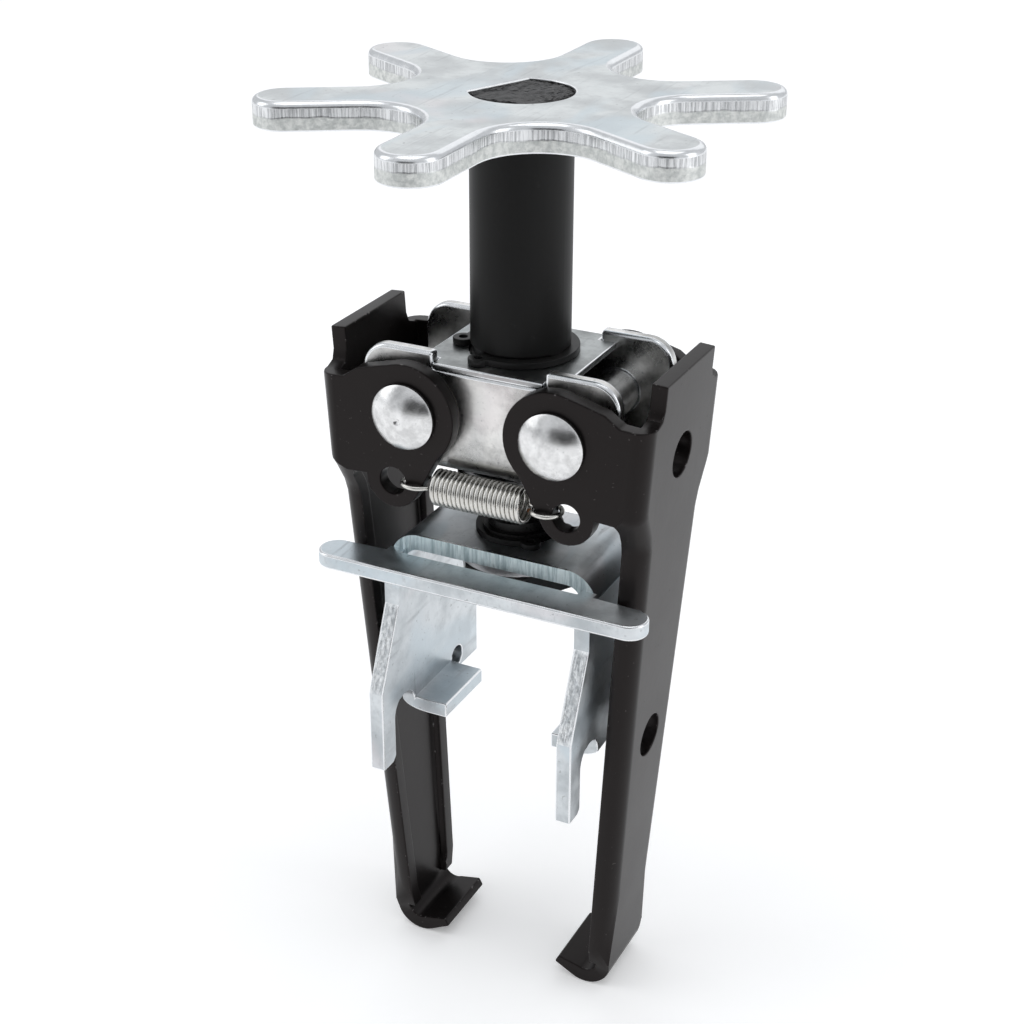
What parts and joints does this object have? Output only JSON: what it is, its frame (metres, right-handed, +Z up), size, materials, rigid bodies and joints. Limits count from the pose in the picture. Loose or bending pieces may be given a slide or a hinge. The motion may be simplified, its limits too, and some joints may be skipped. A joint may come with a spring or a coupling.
{
  "type": "two-arm valve spring compressor",
  "caption": "Hand tool with a star knob that screws a press plate with inward feet down between sprung, hooked arms, to squeeze a coil spring.",
  "frame": {"origin": "on the screw's axis, level with the undersides of the two hooks", "axes": "+Z up the screw's axis towards the star knob, +X from the left arm to the right arm, -Y towards the front strip of the press plate"},
  "size_m": [0.0802, 0.09, 0.176],
  "materials": {
    "zinc_plate": "bright zinc plate with a faint blue tint and sheared edges",
    "zinc_sheet": "zinc-plated sheet, slightly duller and scuffed",
    "rivet_steel": "bright domed rivet heads",
    "black_tube": "satin black oxide, lightly oiled",
    "black_clip": "black phosphate",
    "black_paint": "semi-gloss black paint",
    "spring_wire": "bright drawn spring wire",
    "plain_steel": "plain ground steel"
  },
  "bodies": {
    "body": {"body_channel": "zinc_sheet", "top_plate": "zinc_sheet", "thrust_washer": "plain_steel", "rivet_left": "rivet_steel", "rivet_right": "rivet_steel", "washer_left_front": "black_clip", "washer_left_back": "black_clip", "washer_right_front": "black_clip", "washer_right_back": "black_clip", "spring_front": "spring_wire", "spring_back": "spring_wire"},
    "drive": {"star_knob": "zinc_plate", "drive_tube": "black_tube", "tube_circlip": "black_clip"},
    "press": {"lead_screw": "black_tube", "screw_circlip": "black_clip", "screw_washer": "plain_steel", "press_plate": "zinc_plate"},
    "arm_left": {"arm_left": "black_paint"},
    "arm_right": {"arm_right": "black_paint"}
  },
  "joints": [
    {"name": "knob_spin", "type": "hinge", "parent": "body", "child": "drive", "pos_m": [0, 0, 0.13], "axis": [0, 0, 1], "range_deg": [-1080, 3600]},
    {"name": "press_feed", "type": "slide", "parent": "body", "child": "press", "axis": [0, 0, -1], "range_m": [-0.006, 0.02]},
    {"name": "arm_left_pivot", "type": "hinge", "parent": "body", "child": "arm_left", "pos_m": [-0.0144, 0, 0.1206], "axis": [0, 1, 0], "range_deg": [0, 25], "stiffness_Nm_per_rad": 0.6, "springref_deg": -20.05, "deforming": ["spring_front", "spring_back"]},
    {"name": "arm_right_pivot", "type": "hinge", "parent": "body", "child": "arm_right", "pos_m": [0.0144, 0, 0.1206], "axis": [0, -1, 0], "range_deg": [0, 25], "stiffness_Nm_per_rad": 0.6, "springref_deg": -20.05, "deforming": ["spring_front", "spring_back"]}
  ],
  "couplings": [
    {"joint": "press_feed", "follows": "knob_spin", "m_per_rad": 0.0003183}
  ]
}
